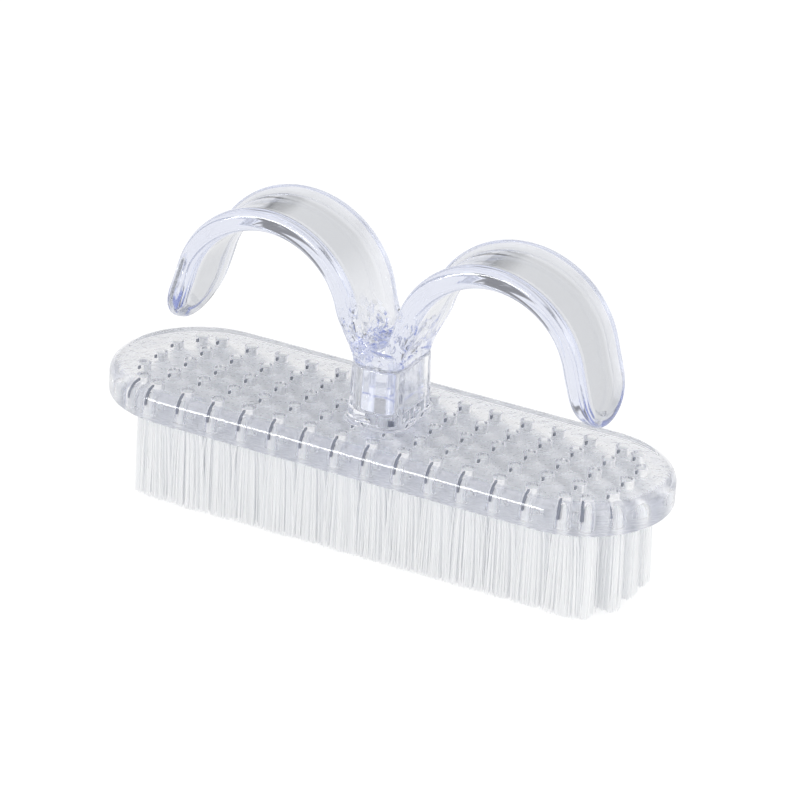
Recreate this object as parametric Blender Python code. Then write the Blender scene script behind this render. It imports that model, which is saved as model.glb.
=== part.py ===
"""Clear nail dust brush: a tufted head and a finger handle with two arches.

Metres, +Z up. +X runs along the brush, and -Y is the front. The bristle tips stand on z = 0
and the middle of the head is over the origin. Every piece is one closed solid of its own.
"""

import math

import bmesh
import bpy
from mathutils import Vector

MM = 0.001

# Brush head: a flat plate with round ends
HEAD_LENGTH = 95.0 * MM
HEAD_WIDTH = 30.2 * MM
HEAD_THICKNESS = 5.1 * MM
HEAD_TOP_ROUNDING = 2.0 * MM
HEAD_BOTTOM_ROUNDING = 0.4 * MM
HEAD_END_FLAT = 0.1 * MM

# Tufts: a grid of round holes in the underside, with the four corner tufts drawn in
TUFT_COLUMNS = 16
TUFT_ROWS = 5
COLUMN_MARGIN = 6.85 * MM
ROW_MARGIN = 4.95 * MM
CORNER_PULL_Y = 1.0 * MM
HOLE_DIAMETER = 2.3 * MM
HOLE_CEILING = 1.0 * MM

# Bristles: each column of tufts is fused to its own slice of the backing
BRISTLE_LENGTH = 15.0 * MM
STRANDS_PER_TUFT = 6
STRAND_RADIUS = 0.3 * MM
STRAND_SPLAY = 0.65 * MM
STRAND_LEAN = 0.7 * MM
SLICE_THICKNESS = 0.5 * MM
SLICE_LAND = 0.12 * MM
GROOVE_WALL = 0.2 * MM
PLUG_END_GAP = 0.6 * MM

# Socket post on top of the head
POST_WIDTH = 8.8 * MM
POST_LENGTH = 13.6 * MM
POST_HEIGHT = 9.5 * MM
POST_CORNER = 3.0 * MM
POST_DRAFT = 0.35 * MM
POST_WALL = 1.4 * MM
RIM_ROUNDING = 0.3 * MM
FOOT_FLARE = 0.8 * MM
SOCKET_FLOOR = 1.6 * MM

# Finger handle: heights are measured from its seat on the post
RIBBON_WIDTH = 14.6 * MM
RIBBON_THICKNESS = 3.65 * MM
ARCH_SHIFT = 0.2 * MM
ARCH_RADIUS = 16.2 * MM
ARCH_REACH = 19.0 * MM
ARCH_RISE = 4.8 * MM
ARCH_TIP_ANGLE = math.radians(15.0)
ARCH_ROOT_ANGLE = math.radians(165.0)
TIP_DROP = 2.5 * MM
TIP_FLARE = 2.0 * MM
TIP_THICKNESS = 2.9 * MM
TONGUE_LENGTH = 6.8 * MM
CROTCH_HEIGHT = 3.2 * MM
ROOT_HEIGHT = 2.8 * MM
ROOT_FLARE = 0.4 * MM
ROOT_NARROWING = 0.45 * MM
EDGE_ROUNDING = 1.0 * MM
CHANNEL_RIM = 2.0 * MM
CHANNEL_RAMP = 0.8 * MM
CHANNEL_DEPTH = 0.9 * MM

# Clearances between separate pieces
SEAT_GAP = 0.3 * MM
SLIDING_GAP = 0.3 * MM

# Mesh steps
CORNER_STEPS = 15
HOLE_SIDES = 10
PLUG_SIDES = 8
LAND_SIDES = 8
STRAND_SIDES = 3
ARC_STEPS = 20
WIDTH_OF_CAP = 0.05 * MM

# Places that follow from the sizes
UNDERSIDE = BRISTLE_LENGTH
DECK = UNDERSIDE + HEAD_THICKNESS
POST_RIM = DECK + POST_HEIGHT
SEAT = POST_RIM + SEAT_GAP
COLUMN_PITCH = (HEAD_LENGTH - 2 * COLUMN_MARGIN) / (TUFT_COLUMNS - 1)
ROW_PITCH = (HEAD_WIDTH - 2 * ROW_MARGIN) / (TUFT_ROWS - 1)
HOLE_TOP = DECK - HOLE_CEILING
HOLE_RADIUS = HOLE_DIAMETER / 2
SLICE_MARGIN = HOLE_RADIUS + SLICE_LAND
GROOVE_MARGIN = SLICE_MARGIN + SLIDING_GAP
CORNER_SPACING = 2 * GROOVE_MARGIN * math.cos(math.pi / LAND_SIDES) + GROOVE_WALL
SOCKET_HALF_X = POST_WIDTH / 2 - POST_WALL
SOCKET_HALF_Y = POST_LENGTH / 2 - POST_WALL
SOCKET_CORNER = max(POST_CORNER - POST_WALL, 0.3 * MM)


# Shared helpers


def clear_scene():
    for item in list(bpy.data.objects):
        bpy.data.objects.remove(item, do_unlink=True)


def make_material(name, color, roughness, transmission, ior):
    material = bpy.data.materials.new(name)
    material.use_nodes = True
    shader = material.node_tree.nodes["Principled BSDF"]
    shader.inputs["Base Color"].default_value = (*color, 1.0)
    shader.inputs["Roughness"].default_value = roughness
    shader.inputs["Transmission Weight"].default_value = transmission
    shader.inputs["IOR"].default_value = ior
    material.diffuse_color = (*color, 1.0)
    return material


def make_object(name, bm, material=None):
    bmesh.ops.recalc_face_normals(bm, faces=bm.faces)
    mesh = bpy.data.meshes.new(name)
    bm.to_mesh(mesh)
    bm.free()
    item = bpy.data.objects.new(name, mesh)
    bpy.context.scene.collection.objects.link(item)
    if material:
        mesh.materials.append(material)
    return item


def combine(target, other, operation):
    """Join or cut with an exact Boolean, keep the result as a plain mesh and drop the operand."""
    modifier = target.modifiers.new(operation.title(), "BOOLEAN")
    modifier.operation = operation
    modifier.solver = "EXACT"
    modifier.object = other
    bpy.context.view_layer.update()
    graph = bpy.context.evaluated_depsgraph_get()
    mesh = bpy.data.meshes.new_from_object(target.evaluated_get(graph))
    target.modifiers.clear()
    target.data = mesh
    bpy.data.objects.remove(other, do_unlink=True)


def finish_surface(item, material, angle=30.0):
    item.data.materials.clear()
    item.data.materials.append(material)
    item.data.shade_smooth()
    item.data.set_sharp_from_angle(angle=math.radians(angle))


def rounded_outline(half_x, half_y, corner):
    """Points round a rectangle with round corners, counter-clockwise, each corner an arc."""
    points = []
    for turn, (sign_x, sign_y) in enumerate(((1, 1), (-1, 1), (-1, -1), (1, -1))):
        for step in range(CORNER_STEPS + 1):
            angle = math.radians(90.0) * (turn + step / CORNER_STEPS)
            x = sign_x * (half_x - corner) + corner * math.cos(angle)
            y = sign_y * (half_y - corner) + corner * math.sin(angle)
            points.append((x, y))
    return points


def stack_rings(rings):
    """Skin a pile of rings with the same number of points, and close both ends."""
    bm = bmesh.new()
    loops = [[bm.verts.new(point) for point in ring] for ring in rings]
    for lower, upper in zip(loops, loops[1:]):
        for index in range(len(lower)):
            following = (index + 1) % len(lower)
            bm.faces.new((lower[index], lower[following], upper[following], upper[index]))
    bm.faces.new(loops[0])
    bm.faces.new(loops[-1])
    return bm


def ring_at(half_x, half_y, corner, z):
    return [Vector((x, y, z)) for x, y in rounded_outline(half_x, half_y, corner)]


def add_prism(bm, outline, z_low, z_high):
    low = [bm.verts.new((x, y, z_low)) for x, y in outline]
    high = [bm.verts.new((x, y, z_high)) for x, y in outline]
    for index in range(len(low)):
        following = (index + 1) % len(low)
        bm.faces.new((low[index], low[following], high[following], high[index]))
    bm.faces.new(low)
    bm.faces.new(high)


def circle_outline(center, radius, sides, turn=0.0):
    points = []
    for index in range(sides):
        angle = turn + 2 * math.pi * index / sides
        points.append((center[0] + radius * math.cos(angle), center[1] + radius * math.sin(angle)))
    return points


def convex_outline(points):
    """The outer boundary of some points in the plane, counter-clockwise."""
    ordered = sorted(set(points))

    def half(sequence):
        chain = []
        for point in sequence:
            while len(chain) > 1 and turn_of(chain[-2], chain[-1], point) <= 1e-12:
                chain.pop()
            chain.append(point)
        return chain[:-1]

    return half(ordered) + half(reversed(ordered))


def turn_of(first, second, third):
    along = (second[0] - first[0], second[1] - first[1])
    onward = (third[0] - first[0], third[1] - first[1])
    return along[0] * onward[1] - along[1] * onward[0]


def bezier(start, start_pull, end_pull, end, t):
    rest = 1.0 - t
    return (start * rest**3 + start_pull * 3 * rest**2 * t
            + end_pull * 3 * rest * t**2 + end * t**3)


def ease(value):
    value = min(max(value, 0.0), 1.0)
    return value * value * (3 - 2 * value)


# Where the tufts stand


def tuft_column(column):
    """Centres of the tufts in one column, from the front row to the back row.

    A corner tuft is drawn in until only a thin wall parts its groove from the next one.
    """
    x = (column - (TUFT_COLUMNS - 1) / 2) * COLUMN_PITCH
    at_end = column in (0, TUFT_COLUMNS - 1)
    centers = []
    for row in range(TUFT_ROWS):
        y = (row - (TUFT_ROWS - 1) / 2) * ROW_PITCH
        corner = at_end and row in (0, TUFT_ROWS - 1)
        pull_x = math.copysign(COLUMN_PITCH - CORNER_SPACING, x) if corner else 0.0
        pull_y = math.copysign(CORNER_PULL_Y, y) if corner else 0.0
        centers.append((x - pull_x, y - pull_y))
    return centers


def slice_outline(column, margin):
    """The strip of backing round one column of tufts."""
    points = []
    for center in tuft_column(column):
        points += circle_outline(center, margin, LAND_SIDES, math.pi / LAND_SIDES)
    return convex_outline(points)


# Brush head


def head_rings():
    half_x = HEAD_LENGTH / 2
    half_y = HEAD_WIDTH / 2
    corner = half_y - HEAD_END_FLAT / 2
    rings = []
    for step in range(3):
        angle = math.radians(45.0) * step
        inset = HEAD_BOTTOM_ROUNDING * (1 - math.sin(angle))
        z = UNDERSIDE + HEAD_BOTTOM_ROUNDING * (1 - math.cos(angle))
        rings.append(ring_at(half_x - inset, half_y - inset, corner - inset, z))
    for step in range(6):
        angle = math.radians(18.0) * step
        inset = HEAD_TOP_ROUNDING * (1 - math.cos(angle))
        z = DECK - HEAD_TOP_ROUNDING * (1 - math.sin(angle))
        rings.append(ring_at(half_x - inset, half_y - inset, corner - inset, z))
    return rings


def post_ring(outset, z):
    """A ring round the post: its sides lean in by the draft on the way up."""
    lean = POST_DRAFT * (POST_RIM - z) / POST_HEIGHT
    grow = outset + lean
    return ring_at(POST_WIDTH / 2 + grow, POST_LENGTH / 2 + grow, POST_CORNER + grow, z)


def post_rings():
    rings = []
    for step in range(4):
        angle = math.radians(30.0) * step
        outset = FOOT_FLARE * (1 - math.sin(angle))
        rings.append(post_ring(outset, DECK + FOOT_FLARE * (1 - math.cos(angle))))
    for step in range(3):
        angle = math.radians(45.0) * step
        outset = -RIM_ROUNDING * (1 - math.cos(angle))
        rings.append(post_ring(outset, POST_RIM - RIM_ROUNDING * (1 - math.sin(angle))))
    rings.append(ring_at(SOCKET_HALF_X, SOCKET_HALF_Y, SOCKET_CORNER, POST_RIM))
    rings.append(ring_at(SOCKET_HALF_X, SOCKET_HALF_Y, SOCKET_CORNER, DECK + SOCKET_FLOOR))
    return rings


def hole_cutter():
    bm = bmesh.new()
    for column in range(TUFT_COLUMNS):
        for center in tuft_column(column):
            outline = circle_outline(center, HOLE_RADIUS, HOLE_SIDES)
            add_prism(bm, outline, UNDERSIDE - SEAT_GAP, HOLE_TOP)
    return make_object("hole_cutter", bm)


def groove_cutter():
    bm = bmesh.new()
    for column in range(TUFT_COLUMNS):
        outline = slice_outline(column, GROOVE_MARGIN)
        add_prism(bm, outline, UNDERSIDE - SEAT_GAP, UNDERSIDE + SLICE_THICKNESS + SEAT_GAP)
    return make_object("groove_cutter", bm)


def build_head(material):
    head = make_object("brush_head", stack_rings(head_rings() + post_rings()))
    combine(head, groove_cutter(), "DIFFERENCE")
    combine(head, hole_cutter(), "DIFFERENCE")
    finish_surface(head, material)
    return head


# Bristles


def strand_offsets():
    """Root and tip offsets of the strands of one tuft: one in the middle, the rest round it."""
    root_ring = HOLE_RADIUS - SLIDING_GAP - STRAND_RADIUS / 2
    offsets = [((0.0, 0.0), (0.0, 0.0))]
    for index in range(STRANDS_PER_TUFT - 1):
        angle = math.radians(90.0) + 2 * math.pi * index / (STRANDS_PER_TUFT - 1)
        root = (root_ring * math.cos(angle), root_ring * math.sin(angle))
        reach = root_ring + STRAND_SPLAY
        tip = (reach * math.cos(angle), reach * math.sin(angle))
        offsets.append((root, tip))
    return offsets


def add_strand(bm, center, root, tip):
    """A straight strand whose foot lies in the slice and whose tip is cut flat on z = 0."""
    turn = math.atan2(root[1], root[0])
    foot = (center[0] + root[0], center[1] + root[1])
    end = (center[0] + tip[0] + STRAND_LEAN, center[1] + tip[1])
    top = UNDERSIDE + SLICE_THICKNESS / 2
    high = [bm.verts.new((x, y, top)) for x, y in circle_outline(foot, STRAND_RADIUS, STRAND_SIDES, turn)]
    low = [bm.verts.new((x, y, 0.0)) for x, y in circle_outline(end, STRAND_RADIUS, STRAND_SIDES, turn)]
    for index in range(STRAND_SIDES):
        following = (index + 1) % STRAND_SIDES
        bm.faces.new((low[index], low[following], high[following], high[index]))
    bm.faces.new(low)
    bm.faces.new(high)


def build_tuft_column(column, material):
    """Five tufts on one slice: root plugs up in the holes, strands down to the tips."""
    body = bmesh.new()
    add_prism(body, slice_outline(column, SLICE_MARGIN), UNDERSIDE, UNDERSIDE + SLICE_THICKNESS)
    tufts = make_object(f"tuft_column_{column + 1:02d}", body)
    growth = bmesh.new()
    for center in tuft_column(column):
        plug = circle_outline(center, HOLE_RADIUS - SLIDING_GAP, PLUG_SIDES)
        add_prism(growth, plug, UNDERSIDE + SLICE_THICKNESS * 0.75, HOLE_TOP - PLUG_END_GAP)
        for root, tip in strand_offsets():
            add_strand(growth, center, root, tip)
    combine(tufts, make_object("growth", growth), "UNION")
    finish_surface(tufts, material)
    return tufts


# Finger handle


def point(x, z):
    return Vector((x, 0.0, z))


def on_circle(center, radius, angle):
    return center + point(radius * math.cos(angle), radius * math.sin(angle))


def down_from(angle, sign):
    """The way on from the end of an arc, along its tangent, downwards."""
    return point(sign * math.sin(angle), -sign * math.cos(angle))


OUTER_CENTER = point(ARCH_REACH, SEAT + ARCH_RISE)
INNER_CENTER = point(ARCH_REACH + ARCH_SHIFT, SEAT + ARCH_RISE)
INNER_RADIUS = ARCH_RADIUS - RIBBON_THICKNESS
TIP_Z = SEAT - TIP_DROP


def tip_pair(t):
    """Outer and inner points on the free end of an arch, from its tip at t = 0 to the arc."""
    outer_top = on_circle(OUTER_CENTER, ARCH_RADIUS, ARCH_TIP_ANGLE)
    inner_top = on_circle(INNER_CENTER, INNER_RADIUS, ARCH_TIP_ANGLE)
    outer_tip = point(OUTER_CENTER.x + ARCH_RADIUS + TIP_FLARE, TIP_Z)
    inner_tip = outer_tip - point(TIP_THICKNESS, -0.1 * TIP_THICKNESS)
    pull = (outer_top.z - TIP_Z) / 3
    along = down_from(ARCH_TIP_ANGLE, 1)
    outer = bezier(outer_tip, outer_tip + point(-0.05 * pull, pull), outer_top + along * pull, outer_top, t)
    inner = bezier(inner_tip, inner_tip + point(-0.25 * pull, pull), inner_top + along * pull, inner_top, t)
    return outer, inner


def arc_pair(t):
    angle = ARCH_TIP_ANGLE + (ARCH_ROOT_ANGLE - ARCH_TIP_ANGLE) * t
    return on_circle(OUTER_CENTER, ARCH_RADIUS, angle), on_circle(INNER_CENTER, INNER_RADIUS, angle)


def outer_root(t):
    """Outer line from the end of the arc down into the crotch over the post."""
    start = on_circle(OUTER_CENTER, ARCH_RADIUS, ARCH_ROOT_ANGLE)
    crotch = point(0.0, SEAT + CROTCH_HEIGHT)
    drop = start.z - crotch.z
    along = down_from(ARCH_ROOT_ANGLE, -1)
    return bezier(start, start + along * (0.42 * drop), crotch + point(0.65 * start.x, 0.0), crotch, t)


def inner_root(t):
    """Inner line from the end of the arc down into the side of the root block."""
    start = on_circle(INNER_CENTER, INNER_RADIUS, ARCH_ROOT_ANGLE)
    end = point(POST_WIDTH / 2, SEAT + ROOT_HEIGHT / 3)
    pull = (start.z - end.z) / 3
    along = down_from(ARCH_ROOT_ANGLE, -1)
    return bezier(start, start + along * pull * 1.1, end + point(0.15 * pull, pull), end, t)


def tongue_half_width(distance):
    """Half of the ribbon's width at a distance from its tip, which is half an ellipse."""
    rest = max(TONGUE_LENGTH - distance, 0.0) / TONGUE_LENGTH
    return RIBBON_WIDTH / 2 * math.sqrt(1 - rest**2)


def distance_to_edge(along, across):
    """How far a point of the ribbon lies from its edge, measured round the tongue too."""
    best = RIBBON_WIDTH / 2 - abs(across)
    if along > TONGUE_LENGTH + RIBBON_WIDTH / 2:
        return best
    for step in range(61):
        angle = math.radians(90.0) * step / 60
        edge_along = TONGUE_LENGTH * (1 - math.cos(angle))
        edge_across = RIBBON_WIDTH / 2 * math.sin(angle)
        best = min(best, math.hypot(along - edge_along, abs(across) - edge_across))
    return max(best, 0.0)


def edge_drop(distance):
    """How far the round edge falls below the face, this near to the ribbon's edge."""
    inward = max(EDGE_ROUNDING - distance, 0.0)
    return EDGE_ROUNDING - math.sqrt(EDGE_ROUNDING**2 - inward**2)


def outer_columns():
    """Distances from the edge at which the outer face has points: rounding, rim, channel."""
    rounding = [EDGE_ROUNDING * share for share in (0.0, 0.13, 0.5, 1.0)]
    channel = [CHANNEL_RIM, CHANNEL_RIM + CHANNEL_RAMP / 2, CHANNEL_RIM + CHANNEL_RAMP]
    return rounding + channel + [RIBBON_WIDTH / 2]


def inner_columns():
    rounding = [EDGE_ROUNDING * share for share in (0.0, 0.13, 0.5, 1.0)]
    return rounding + [RIBBON_WIDTH / 2]


def section(outer, inner, outer_half, inner_half, along, channel):
    """One closed cross-section of the ribbon, as points round it."""
    reach = outer - inner
    normal = reach.normalized()
    full = RIBBON_WIDTH / 2
    ring = []
    faces = ((outer_half, outer_columns(), True), (inner_half, inner_columns(), False))
    for half, columns, on_outside in faces:
        shares = [1 - distance / full for distance in columns]
        ways = shares + [-share for share in reversed(shares[:-1])]
        for share in (reversed(ways) if on_outside else ways):
            true_distance = distance_to_edge(along, share * tongue_half_width(along))
            drop = edge_drop(true_distance)
            if on_outside:
                ramp = (true_distance - CHANNEL_RIM) / CHANNEL_RAMP
                place = outer - normal * (drop + channel * CHANNEL_DEPTH * ease(ramp))
            else:
                place = inner + normal * drop
            ring.append(place + Vector((0.0, share * half, 0.0)))
    return ring


def arch_sections():
    """Sections of one arch from its tip to the middle of the handle."""
    sections = []
    length = (tip_pair(1.0)[0] - tip_pair(0.0)[0]).length
    marks = [0.0, 0.035, 0.11, 0.22, 0.37, 0.56, 0.78, 1.0]
    stops = [WIDTH_OF_CAP + (TONGUE_LENGTH - WIDTH_OF_CAP) * mark for mark in marks]
    stops += [(TONGUE_LENGTH + length) / 2]
    for along in stops:
        outer, inner = tip_pair(along / length)
        half = tongue_half_width(along)
        sections.append(section(outer, inner, half, half, along, 1.0))
    for step in range(ARC_STEPS + 1):
        outer, inner = arc_pair(step / ARC_STEPS)
        sections.append(section(outer, inner, RIBBON_WIDTH / 2, RIBBON_WIDTH / 2, 1.0, 1.0))
    return sections + root_sections()


def root_sections():
    """Sections from the end of the arc down into the root block, then in to the middle."""
    sections = []
    full = RIBBON_WIDTH / 2
    narrow = full - ROOT_NARROWING
    side_share = 0.6
    for step in range(1, 7):
        t = step / 6
        outer_half = full + (narrow - full) * ease(side_share * t)
        inner_half = full + (narrow - 2 * ROOT_NARROWING - full) * t**2
        channel = 1.0 - 0.6 * ease(t)
        outer = outer_root(side_share * t)
        sections.append(section(outer, inner_root(t), outer_half, inner_half, 1.0, channel))
    for step in range(1, 5):
        t = step / 4
        x = POST_WIDTH / 2 * math.cos(math.radians(90.0) * t)
        inner = point(x, SEAT + ROOT_HEIGHT / 3)
        share = side_share + (1 - side_share) * t
        outer_half = full + (narrow - full) * ease(share)
        inner_half = narrow - 2 * ROOT_NARROWING
        sections.append(section(outer_root(share), inner, outer_half, inner_half, 1.0, 0.4 * (1 - ease(t))))
    return sections


def root_rings():
    """The block between the arches and the post, with the tenon under it."""
    tenon_x = SOCKET_HALF_X - SLIDING_GAP
    tenon_y = SOCKET_HALF_Y - SLIDING_GAP
    tenon_corner = max(SOCKET_CORNER - SLIDING_GAP, 0.1 * MM)
    chamfer = SLIDING_GAP
    bottom = DECK + SOCKET_FLOOR + SEAT_GAP
    half_x = POST_WIDTH / 2
    half_y = POST_LENGTH / 2
    rings = [ring_at(tenon_x - chamfer, tenon_y - chamfer, tenon_corner, bottom),
             ring_at(tenon_x, tenon_y, tenon_corner, bottom + chamfer),
             ring_at(tenon_x, tenon_y, tenon_corner, SEAT)]
    for step in range(3):
        angle = math.radians(45.0) * step
        inset = RIM_ROUNDING * (1 - math.sin(angle))
        z = SEAT + RIM_ROUNDING * (1 - math.cos(angle))
        rings.append(ring_at(half_x - inset, half_y - inset, POST_CORNER - inset, z))
    flare = ROOT_FLARE
    rings.append(ring_at(half_x + flare, half_y + flare, POST_CORNER + flare, SEAT + ROOT_HEIGHT))
    return rings


def build_handle(material):
    right = arch_sections()
    left = [[Vector((-p.x, p.y, p.z)) for p in ring] for ring in reversed(right[:-1])]
    handle = make_object("finger_handle", stack_rings(right + left))
    combine(handle, make_object("root_block", stack_rings(root_rings())), "UNION")
    finish_surface(handle, material)
    return handle


def main():
    clear_scene()
    head_plastic = make_material("head_clear_plastic", (0.86, 0.88, 0.93), 0.05, 0.9, 1.57)
    handle_plastic = make_material("handle_clear_plastic", (0.88, 0.9, 0.95), 0.05, 0.9, 1.57)
    nylon = make_material("bristle_nylon", (0.9, 0.91, 0.92), 0.45, 0.0, 1.5)
    build_head(head_plastic)
    build_handle(handle_plastic)
    for column in range(TUFT_COLUMNS):
        build_tuft_column(column, nylon)


main()
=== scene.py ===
# %% [markdown]
# # A clear nail dust brush
#
# The brush is three things: a flat head of clear plastic with blind holes in its underside,
# eighty tufts of pale nylon held in those holes, and a clear finger handle whose tenon stands
# in a post on top of the head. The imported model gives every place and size. This notebook
# makes a finer visual piece for each of its solids, in the same place, and lights them.

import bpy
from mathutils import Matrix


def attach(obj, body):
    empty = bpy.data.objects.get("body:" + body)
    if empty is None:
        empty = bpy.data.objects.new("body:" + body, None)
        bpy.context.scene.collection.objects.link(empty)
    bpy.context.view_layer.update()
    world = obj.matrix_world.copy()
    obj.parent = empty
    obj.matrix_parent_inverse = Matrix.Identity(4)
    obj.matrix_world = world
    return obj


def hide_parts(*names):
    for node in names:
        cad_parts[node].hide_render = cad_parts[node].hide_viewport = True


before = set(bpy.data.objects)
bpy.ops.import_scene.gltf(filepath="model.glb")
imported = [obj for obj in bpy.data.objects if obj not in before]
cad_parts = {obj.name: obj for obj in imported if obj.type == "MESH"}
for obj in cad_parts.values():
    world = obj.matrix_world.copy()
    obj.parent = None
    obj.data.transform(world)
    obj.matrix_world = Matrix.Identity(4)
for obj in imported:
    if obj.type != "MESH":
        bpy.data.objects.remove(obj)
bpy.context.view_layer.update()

# %% Other modules
import math
import random

import bmesh
import bpy
import numpy as np
from mathutils import Matrix, Vector

MM = 0.001

# %% [markdown]
# ## Working by hand in code
#
# An operator acts on whatever is selected, and loading the frame leaves its nodes selected.
# So everything is deselected before a new primitive is added, and in edit mode the edges or
# faces to work on are picked by a test on their place. These helpers do the picking.

# %% Selecting and editing
CLOSE = 0.002 * MM


def deselect_all():
    if bpy.context.object and bpy.context.object.mode != "OBJECT":
        bpy.ops.object.mode_set(mode="OBJECT")
    bpy.ops.object.select_all(action="DESELECT")


def make_active(piece):
    deselect_all()
    piece.select_set(True)
    bpy.context.view_layer.objects.active = piece


def add_box(name, low, high):
    """A cube primitive between two corners, with its place in its mesh."""
    deselect_all()
    low = Vector(low)
    high = Vector(high)
    bpy.ops.mesh.primitive_cube_add(size=1, location=(low + high) / 2, scale=high - low)
    piece = bpy.context.object
    piece.name = name
    bpy.ops.object.transform_apply(location=True, rotation=True, scale=True)
    return piece


def edit(piece):
    make_active(piece)
    bpy.ops.object.mode_set(mode="EDIT")
    bpy.ops.mesh.select_mode(type="EDGE")
    bpy.ops.mesh.select_all(action="DESELECT")


def pick(piece, kind, test):
    """In edit mode, select just the vertices, edges or faces that pass a test."""
    bpy.ops.mesh.select_mode(type=kind)
    bpy.ops.mesh.select_all(action="DESELECT")
    mesh = bmesh.from_edit_mesh(piece.data)
    items = {"VERT": mesh.verts, "EDGE": mesh.edges, "FACE": mesh.faces}[kind]
    picked = [item for item in items if test(item)]
    for item in picked:
        item.select_set(True)
    mesh.select_flush_mode()
    bmesh.update_edit_mesh(piece.data)
    return len(picked)


def near(value, target):
    return abs(value - target) < CLOSE


def upright(edge):
    first, second = (vertex.co for vertex in edge.verts)
    return near(first.x, second.x) and near(first.y, second.y)


def at_height(edge, height):
    return all(near(vertex.co.z, height) for vertex in edge.verts)


def round_edges(piece, radius, segments, test):
    """Bevel the edges that pass a test."""
    count = pick(piece, "EDGE", test)
    bpy.ops.mesh.bevel(offset=radius, segments=segments, affect="EDGES", clamp_overlap=False)
    return count


# %% Joining, smoothing and measuring
SMOOTH_ANGLE = math.radians(32.0)
NORMAL_WEIGHT = 80


def combine(target, other, operation):
    """Join or cut with an exact Boolean, applied, and drop the other piece."""
    modifier = target.modifiers.new(operation.title(), "BOOLEAN")
    modifier.operation = operation
    modifier.solver = "EXACT"
    modifier.object = other
    make_active(target)
    bpy.ops.object.modifier_apply(modifier=modifier.name)
    bpy.data.objects.remove(other, do_unlink=True)


def smooth(piece):
    """Smooth shading that keeps flat faces flat: big faces set the normals at their edges."""
    make_active(piece)
    bpy.ops.object.shade_smooth_by_angle(angle=SMOOTH_ANGLE, keep_sharp_edges=False)
    modifier = piece.modifiers.new("Weighted normals", "WEIGHTED_NORMAL")
    modifier.keep_sharp = True
    modifier.weight = NORMAL_WEIGHT
    bpy.ops.object.modifier_apply(modifier=modifier.name)


def report(piece):
    size = piece.dimensions / MM
    faces = len(piece.data.polygons)
    print(f"{piece.name}: {faces} faces, {size.x:.1f} x {size.y:.1f} x {size.z:.1f} mm")


# %% [markdown]
# ## Shader arithmetic
#
# A pattern is easier to read as an expression than as a wall of nodes. A `Wire` is a socket
# that can be added, subtracted and multiplied, and each sign adds one Math node. Every other
# node comes from `Sheet.node`, which takes the node's type, its settings and its sockets. The
# nodes that come back often have a short method of their own.

# %% Wires and sheets


class Wire:
    def __init__(self, sheet, socket):
        self.sheet = sheet
        self.socket = socket

    def __add__(self, other):
        return self.sheet.math("ADD", self, other)

    def __sub__(self, other):
        return self.sheet.math("SUBTRACT", self, other)

    def __rsub__(self, other):
        return self.sheet.math("SUBTRACT", other, self)

    def __mul__(self, other):
        return self.sheet.math("MULTIPLY", self, other)

    __radd__ = __add__
    __rmul__ = __mul__


class Sheet:
    """The node tree of one material or world."""

    def __init__(self, owner):
        owner.use_nodes = True
        self.tree = owner.node_tree
        self.tree.nodes.clear()

    def node(self, kind, settings, sockets, output=0):
        made = self.tree.nodes.new(kind)
        for name, value in settings.items():
            setattr(made, name, value)
        for name, value in sockets.items():
            if isinstance(value, Wire):
                self.tree.links.new(value.socket, made.inputs[name])
            else:
                made.inputs[name].default_value = value
        return Wire(self, made.outputs[output]) if made.outputs else None

    def math(self, operation, first, second):
        return self.node("ShaderNodeMath", {"operation": operation}, {0: first, 1: second})

    def vector(self, operation, *values, output="Vector"):
        sockets = dict(enumerate(values))
        return self.node("ShaderNodeVectorMath", {"operation": operation}, sockets, output)

    def axis(self, value, letter):
        """One of the three numbers of a place or direction."""
        return self.node("ShaderNodeSeparateXYZ", {}, {0: value}, letter)

    def ray(self, kind):
        return self.node("ShaderNodeLightPath", {}, {}, kind)

    def blend(self, factor, first, second):
        """A colour between two colours."""
        settings = {"data_type": "RGBA"}
        return self.node("ShaderNodeMix", settings, {0: factor, 6: first, 7: second}, 2)

    def step(self, value, start, end):
        """Rises smoothly from 0 to 1 between two values."""
        settings = {"interpolation_type": "SMOOTHSTEP"}
        sockets = {0: value, 1: start, 2: end, 3: 0.0, 4: 1.0}
        return self.node("ShaderNodeMapRange", settings, sockets)

    def noise(self, where, scale, detail, roughness=0.5):
        sockets = {"Vector": where, "Scale": scale, "Detail": detail, "Roughness": roughness}
        return self.node("ShaderNodeTexNoise", {}, sockets)

    def place(self):
        return self.node("ShaderNodeTexCoord", {}, {}, "Object")

    def finish(self, shader, kind="ShaderNodeOutputMaterial", **others):
        self.node(kind, {}, {"Surface": shader, **others})


# %% [markdown]
# ## Clear plastic
#
# Both mouldings are a clear, glossy plastic with the faintest blue. What makes it look real is
# refraction through true thickness, so the walls, holes and sockets are modelled and the
# shader stays simple. Moulded plastic isn't optically flat: a slow ripple bends what is seen
# through it, and handling leaves fine scratches that only roughen the gloss. Thick parts are
# bluer than thin ones, which a volume that absorbs light gives by itself.
#
# Three marks are guesses that bring the look nearer to the photograph. The underside of the
# head is grained and half matt, which breaks up the view of the tufts through the deck. The
# root of the handle has small facets, each tilted its own way, for plastic that flowed
# unevenly. The middle of the ribbon is a little greyer, which is painted shade for the darker
# view through the channel. Facets could be cut into the mesh, but so many small ones would
# cost thousands of faces, so these marks are bump and colour.

# %% The grained underside
GRAIN_LEVEL = 15.01 * MM
GRAIN_FADE = 0.04 * MM
GRAIN_SCALE = 900.0
GRAIN_HEIGHT = 1.2
GRAIN_ROUGHNESS = 0.3
GRAIN_GREYNESS = 0.1


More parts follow.
